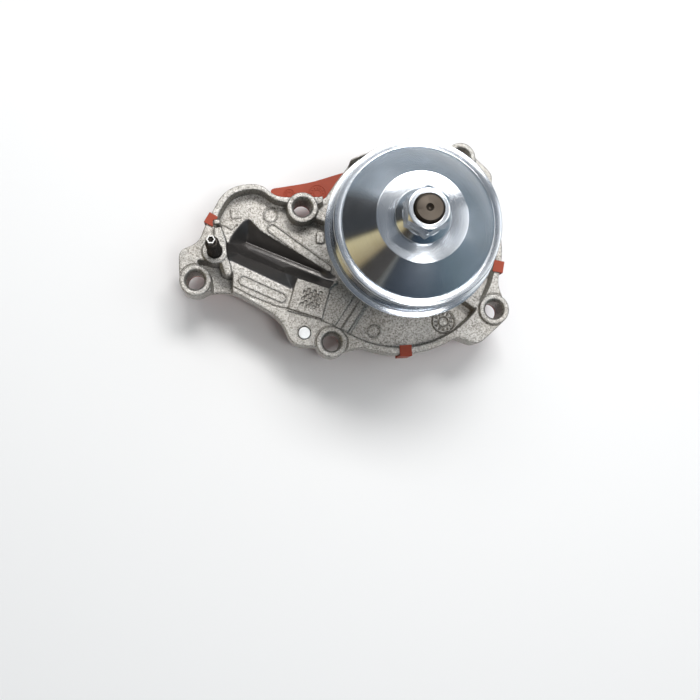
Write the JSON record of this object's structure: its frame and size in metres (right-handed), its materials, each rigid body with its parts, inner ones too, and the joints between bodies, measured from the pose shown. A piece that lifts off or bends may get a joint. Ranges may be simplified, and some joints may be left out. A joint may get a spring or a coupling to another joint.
{
  "type": "engine water pump",
  "caption": "Belt-driven engine water pump: lobed die-cast cover on a gasket carrier, neck with sealed bearing, ribbed pulley and vaned impeller.",
  "frame": {"origin": "where the shaft axis crosses the casting's gasket face, the plane that is bolted to the engine", "axes": "+Z along the shaft, out of the engine towards the pulley; +X away from the side lobe, towards the round end; +Y completes the right-handed frame"},
  "size_m": [0.1702, 0.114, 0.1197],
  "materials": {
    "cast_aluminium": "die-cast and shot-blasted, satin",
    "red_plastic": "matt moulded",
    "sealing_rubber": "matt",
    "pin_steel": "ground bright",
    "black_steel": "black phosphate",
    "bearing_steel": "ground",
    "seal_stainless": "drawn, satin",
    "seal_carbon": "lapped carbon, satin",
    "shaft_steel": "ground, turned at the end",
    "pulley_steel": "bright zinc over fine turning lines",
    "nut_steel": "bright zinc",
    "impeller_plastic": "glass-filled, satin",
    "seal_ceramic": "lapped",
    "cage_plastic": "moulded"
  },
  "bodies": {
    "casing": {"pump_housing": "cast_aluminium", "gasket_carrier": "red_plastic", "gasket_bead": "sealing_rubber", "locating_pin": "pin_steel", "stud_bolt": "black_steel", "bearing_outer_ring": "bearing_steel", "bearing_seal_rear": "sealing_rubber", "bearing_seal_front": "sealing_rubber", "seal_cup": "seal_stainless", "seal_bellows": "sealing_rubber", "seal_spring": "seal_stainless", "seal_carbon_ring": "seal_carbon"},
    "rotor": {"pump_shaft": "shaft_steel", "pulley": "pulley_steel", "flange_nut": "nut_steel", "impeller": "impeller_plastic", "impeller_bush": "shaft_steel", "seal_seat_ring": "seal_ceramic", "seal_seat_boot": "sealing_rubber"},
    "ball_row": {"ball_cage": "cage_plastic", "bearing_ball_1": "bearing_steel", "bearing_ball_2": "bearing_steel", "bearing_ball_3": "bearing_steel", "bearing_ball_4": "bearing_steel", "bearing_ball_5": "bearing_steel", "bearing_ball_6": "bearing_steel", "bearing_ball_7": "bearing_steel", "bearing_ball_8": "bearing_steel"},
    "roller_row": {"roller_cage": "cage_plastic", "bearing_roller_1": "bearing_steel", "bearing_roller_2": "bearing_steel", "bearing_roller_3": "bearing_steel", "bearing_roller_4": "bearing_steel", "bearing_roller_5": "bearing_steel", "bearing_roller_6": "bearing_steel", "bearing_roller_7": "bearing_steel", "bearing_roller_8": "bearing_steel", "bearing_roller_9": "bearing_steel", "bearing_roller_10": "bearing_steel"}
  },
  "joints": [
    {"name": "rotor_spin", "type": "hinge", "parent": "casing", "child": "rotor", "pos_m": [0, 0, 0.04], "axis": [0, 0, 1], "continuous": true},
    {"name": "ball_row_spin", "type": "hinge", "parent": "casing", "child": "ball_row", "pos_m": [0, 0, 0.058], "axis": [0, 0, 1], "continuous": true},
    {"name": "roller_row_spin", "type": "hinge", "parent": "casing", "child": "roller_row", "pos_m": [0, 0, 0.038], "axis": [0, 0, 1], "continuous": true}
  ],
  "couplings": [
    {"joint": "ball_row_spin", "follows": "rotor_spin", "ratio": 0.3774},
    {"joint": "roller_row_spin", "follows": "rotor_spin", "ratio": 0.3948}
  ]
}
